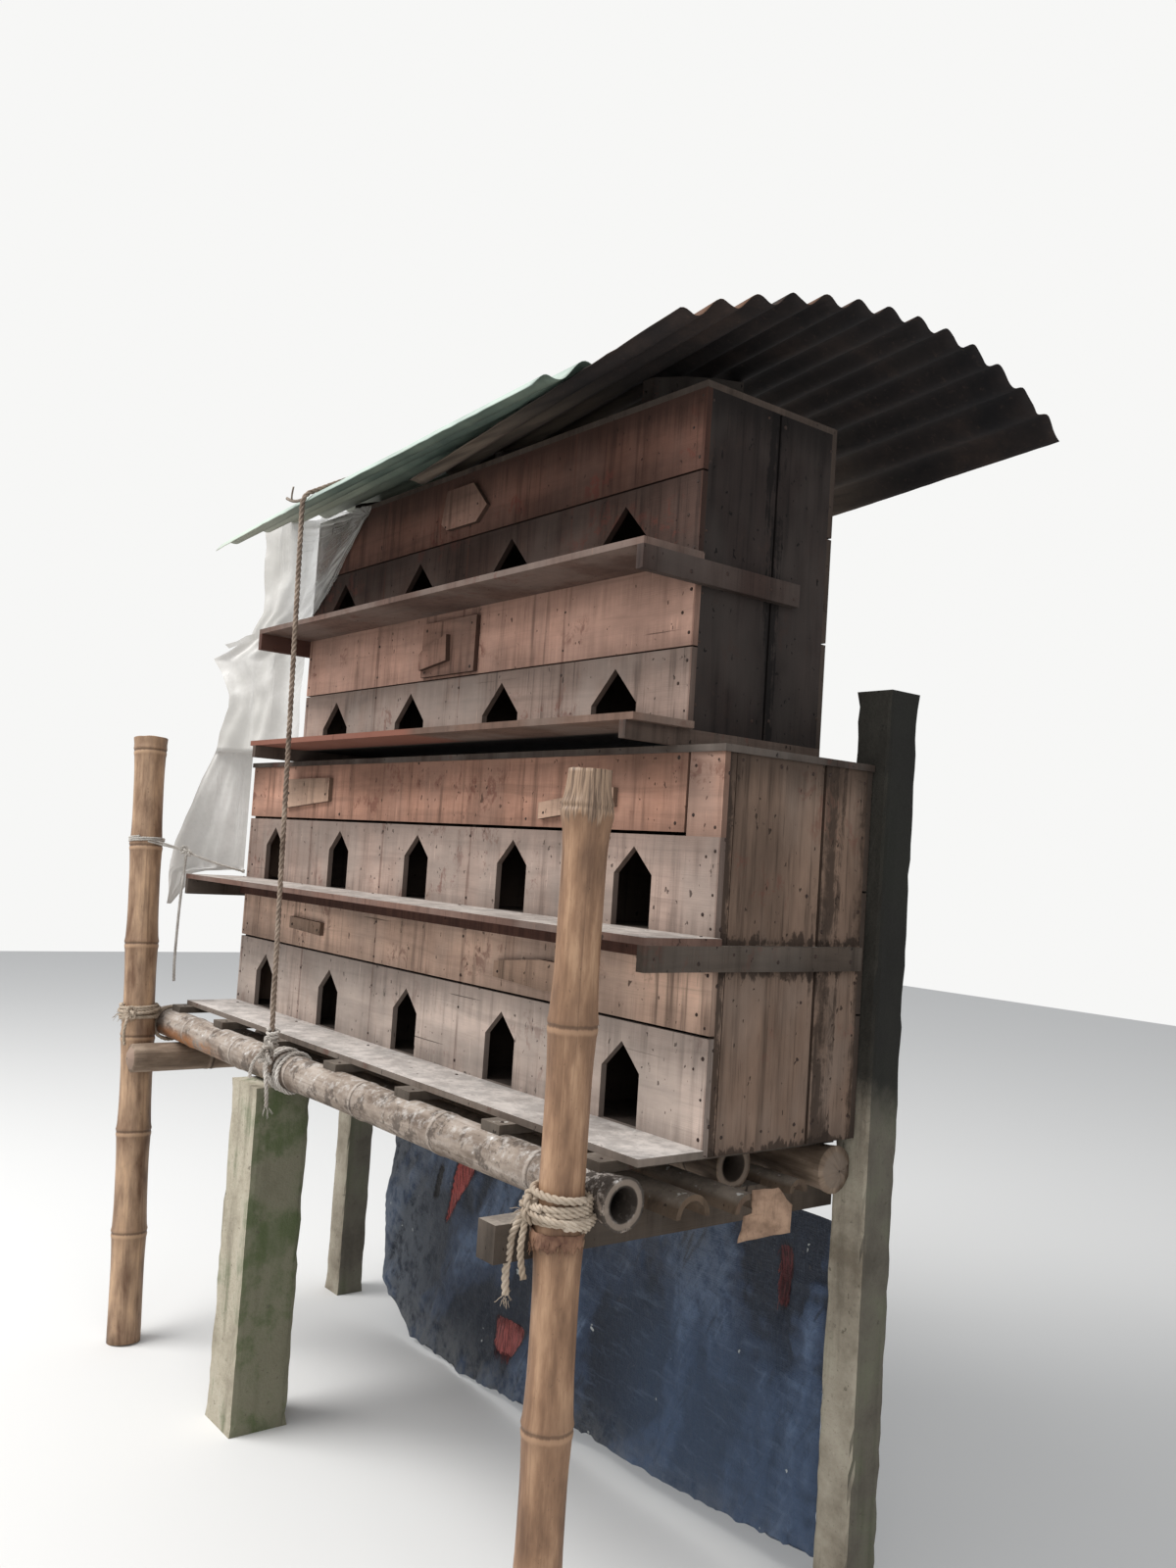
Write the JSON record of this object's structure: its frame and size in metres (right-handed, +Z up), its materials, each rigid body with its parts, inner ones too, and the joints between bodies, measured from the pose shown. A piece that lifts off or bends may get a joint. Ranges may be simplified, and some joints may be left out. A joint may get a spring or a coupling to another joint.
{
  "type": "pigeon loft",
  "caption": "Wooden dovecote of stacked nest cabinets with landing boards and house-shaped holes, on a bamboo platform under loose corrugated iron tied down with rope.",
  "frame": {"origin": "middle of the whole outline on plan, at ground level", "axes": "+Z up, the fronts with the pigeon holes face -Y, and +X runs to the right seen from the front"},
  "size_m": [1.714, 1.0704, 1.9516],
  "materials": {
    "battens": "weathered",
    "concrete": "rough",
    "dark_boards": "weathered",
    "film": "translucent",
    "front_boards": "weathered",
    "green_iron": "chalky",
    "landing_boards": "weathered",
    "new_bamboo": "satin",
    "old_bamboo": "weathered",
    "rope": "matt",
    "rusty_iron": "rusty",
    "tarpaulin": "matt"
  },
  "bodies": {
    "root": {"bearer_battens": "battens", "deck_laths": "battens", "film": "film", "front_pole": "old_bamboo", "front_post": "concrete", "green_sheet": "green_iron", "lashings": "rope", "left_beam": "old_bamboo", "left_post": "new_bamboo", "lower_back": "dark_boards", "lower_battens": "battens", "lower_floor": "dark_boards", "lower_left_side": "dark_boards", "lower_partitions": "dark_boards", "lower_patches": "battens", "lower_right_side": "dark_boards", "lower_shelf": "dark_boards", "lower_top_board": "landing_boards", "middle_pole": "old_bamboo", "rear_pole": "old_bamboo", "rear_posts": "concrete", "right_beam": "battens", "right_post": "new_bamboo", "roof_bearers": "battens", "rope_stay": "rope", "rusty_sheet": "rusty_iron", "split_culms": "old_bamboo", "tarpaulin": "tarpaulin", "tier_1_hole_board": "front_boards", "tier_1_landing": "landing_boards", "tier_1_upper_board": "front_boards", "tier_2_end_piece": "front_boards", "tier_2_flap": "front_boards", "tier_2_hole_board": "front_boards", "tier_2_landing": "landing_boards", "tier_2_ledger": "dark_boards", "tier_3_hole_board": "front_boards", "tier_3_landing": "landing_boards", "tier_3_upper_board": "front_boards", "tier_4_hole_board": "front_boards", "tier_4_landing": "landing_boards", "tier_4_upper_board": "front_boards", "upper_back": "dark_boards", "upper_battens": "battens", "upper_floor": "dark_boards", "upper_left_side": "dark_boards", "upper_partitions": "dark_boards", "upper_patches": "battens", "upper_right_side": "dark_boards", "upper_shelf": "dark_boards", "upper_top_board": "dark_boards"}
  },
  "joints": []
}
